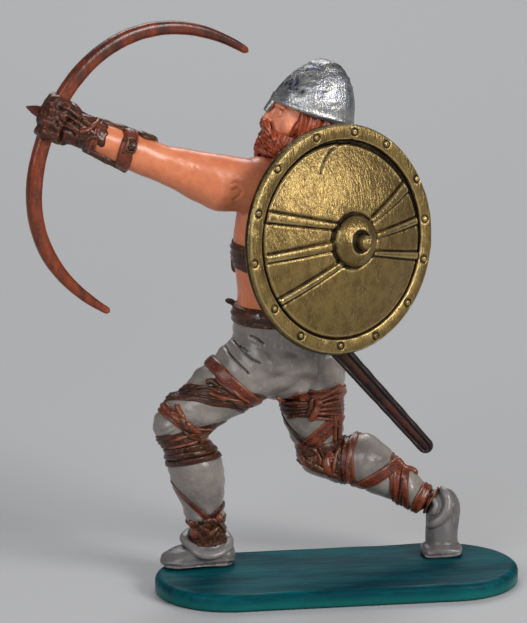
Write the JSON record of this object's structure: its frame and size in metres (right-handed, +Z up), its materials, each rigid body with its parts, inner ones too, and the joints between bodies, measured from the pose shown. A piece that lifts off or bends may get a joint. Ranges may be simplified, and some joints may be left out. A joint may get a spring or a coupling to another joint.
{
  "type": "toy archer figure",
  "caption": "Small moulded and painted toy figure of a helmeted northern archer lunging on a low oval base, with a round shield on the back, a bow, an arrow and a scabbard.",
  "frame": {"origin": "centre of the base's underside", "axes": "+Z is up, the archer shoots towards -X, and the shield is on the side of -Y"},
  "size_m": [0.0629, 0.0273, 0.073],
  "materials": {
    "base_green": "glossy teal paint with long brush strokes",
    "figure_paint": "hand paint over moulded plastic: skin, grey cloth, brown straps, ginger hair and a silver helmet",
    "shield_gold": "metallic gold paint over moulded plastic, darker in the recesses",
    "bow_brown": "glossy brown paint, darker towards the upper tip",
    "arrow_brown": "glossy brown paint",
    "scabbard_brown": "glossy dark brown paint with a lighter stripe"
  },
  "bodies": {
    "root": {"base": "base_green", "figure": "figure_paint", "shield": "shield_gold", "bow": "bow_brown", "arrow": "arrow_brown", "scabbard": "scabbard_brown"}
  },
  "joints": []
}
